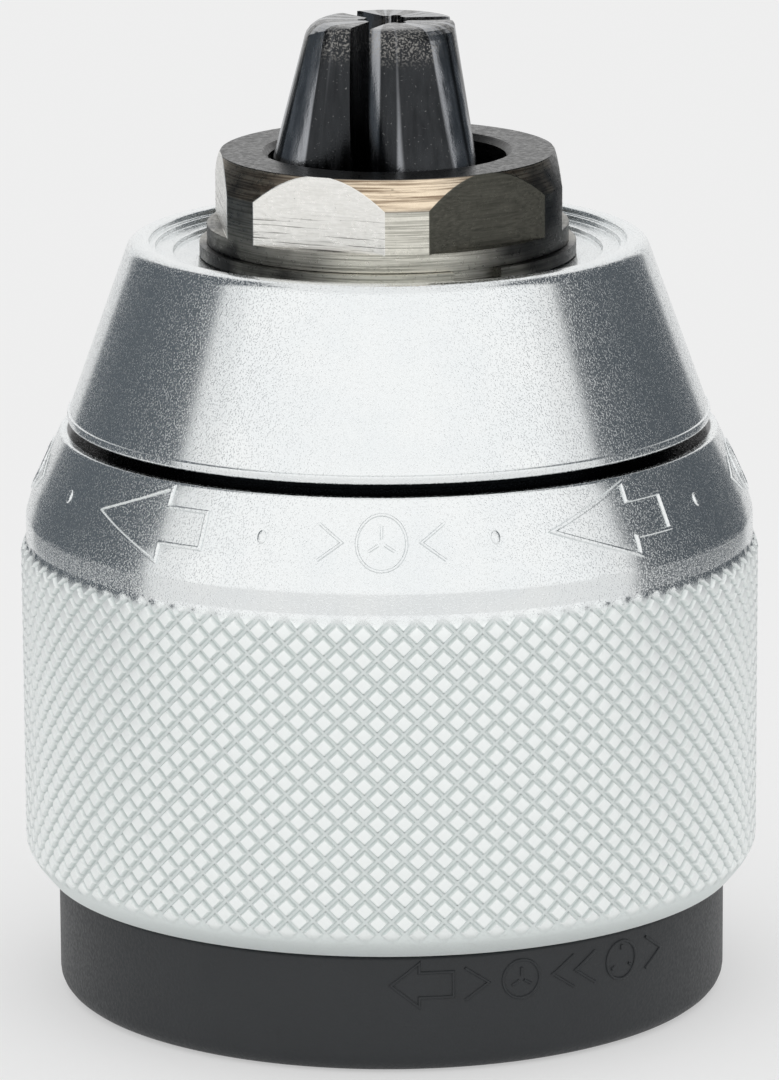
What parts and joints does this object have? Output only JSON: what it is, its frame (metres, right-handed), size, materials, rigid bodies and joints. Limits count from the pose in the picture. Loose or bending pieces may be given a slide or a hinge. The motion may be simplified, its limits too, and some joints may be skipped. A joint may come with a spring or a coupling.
{
  "type": "keyless drill chuck",
  "caption": "Keyless drill chuck: knurled clamp sleeve, conical front sleeve, rear grip ring, sliding jaws driven by a split nut on a thrust bearing, and a ratchet lock.",
  "frame": {"origin": "centre of the rear face, which seats on the spindle shoulder", "axes": "+Z along the chuck axis towards the jaw tips; -Y is the side seen from the front, with the gap between two jaws 24 degrees to its left"},
  "size_m": [0.05, 0.05, 0.0663],
  "materials": {
    "satin_sleeve": "satin, fine blasted grain",
    "body_steel": "black oxide, turned, worn to copper and bare steel on bevel and flats",
    "jaw_steel": "glossy black oxide",
    "black_plastic": "fine speckled texture",
    "spring_steel": "bright",
    "bearing_steel": "ground and polished",
    "oiled_steel": "turned, oiled",
    "cage_plastic": "moulded"
  },
  "bodies": {
    "frame": {"chuck_body": "body_steel", "front_sleeve": "satin_sleeve", "snap_ring": "spring_steel", "rear_ring": "black_plastic", "rear_circlip": "spring_steel", "ratchet_race": "bearing_steel"},
    "nut": {"nut_half_1": "oiled_steel", "nut_half_2": "oiled_steel", "nut_band": "oiled_steel", "front_race": "bearing_steel"},
    "bearing": {"ball_cage": "cage_plastic", "bearing_balls": "bearing_steel"},
    "sleeve": {"clamp_sleeve": "satin_sleeve"},
    "pawl_1": {"pawl_1": "spring_steel"},
    "pawl_2": {"pawl_2": "spring_steel"},
    "jaw_1": {"jaw_1": "jaw_steel"},
    "jaw_2": {"jaw_2": "jaw_steel"},
    "jaw_3": {"jaw_3": "jaw_steel"}
  },
  "joints": [
    {"name": "nut_turn", "type": "hinge", "parent": "frame", "child": "nut", "pos_m": [0, 0, 0.0297], "axis": [0, 0, 1], "range_deg": [-650, 4350]},
    {"name": "bearing_turn", "type": "hinge", "parent": "frame", "child": "bearing", "pos_m": [0, 0, 0.02636], "axis": [0, 0, 1], "range_deg": [-325.5, 2175.5]},
    {"name": "sleeve_lock", "type": "hinge", "parent": "nut", "child": "sleeve", "pos_m": [0, 0, 0.0297], "axis": [0, 0, -1], "range_deg": [0, 20]},
    {"name": "pawl_swing_1", "type": "hinge", "parent": "nut", "child": "pawl_1", "pos_m": [0.01288, -0.01772, 0.02566], "axis": [0, 0, 1], "range_deg": [-0.01, 3.61]},
    {"name": "pawl_swing_2", "type": "hinge", "parent": "nut", "child": "pawl_2", "pos_m": [-0.01288, 0.01772, 0.02566], "axis": [0, 0, 1], "range_deg": [-0.01, 3.61]},
    {"name": "jaw_slide_1", "type": "slide", "parent": "frame", "child": "jaw_1", "axis": [0.1521, -0.2094, -0.9659], "range_m": [-0.0029, 0.01934]},
    {"name": "jaw_slide_2", "type": "slide", "parent": "frame", "child": "jaw_2", "axis": [0.1053, 0.2364, -0.9659], "range_m": [-0.0029, 0.01934]},
    {"name": "jaw_slide_3", "type": "slide", "parent": "frame", "child": "jaw_3", "axis": [-0.2574, -0.0271, -0.9659], "range_m": [-0.0029, 0.01934]}
  ],
  "couplings": [
    {"joint": "bearing_turn", "follows": "nut_turn", "ratio": 0.5},
    {"joint": "pawl_swing_1", "follows": "sleeve_lock", "ratio": 0.18},
    {"joint": "pawl_swing_2", "follows": "sleeve_lock", "ratio": 0.18},
    {"joint": "jaw_slide_1", "follows": "nut_turn", "m_per_rad": 0.00025465},
    {"joint": "jaw_slide_2", "follows": "nut_turn", "m_per_rad": 0.00025465},
    {"joint": "jaw_slide_3", "follows": "nut_turn", "m_per_rad": 0.00025465}
  ]
}
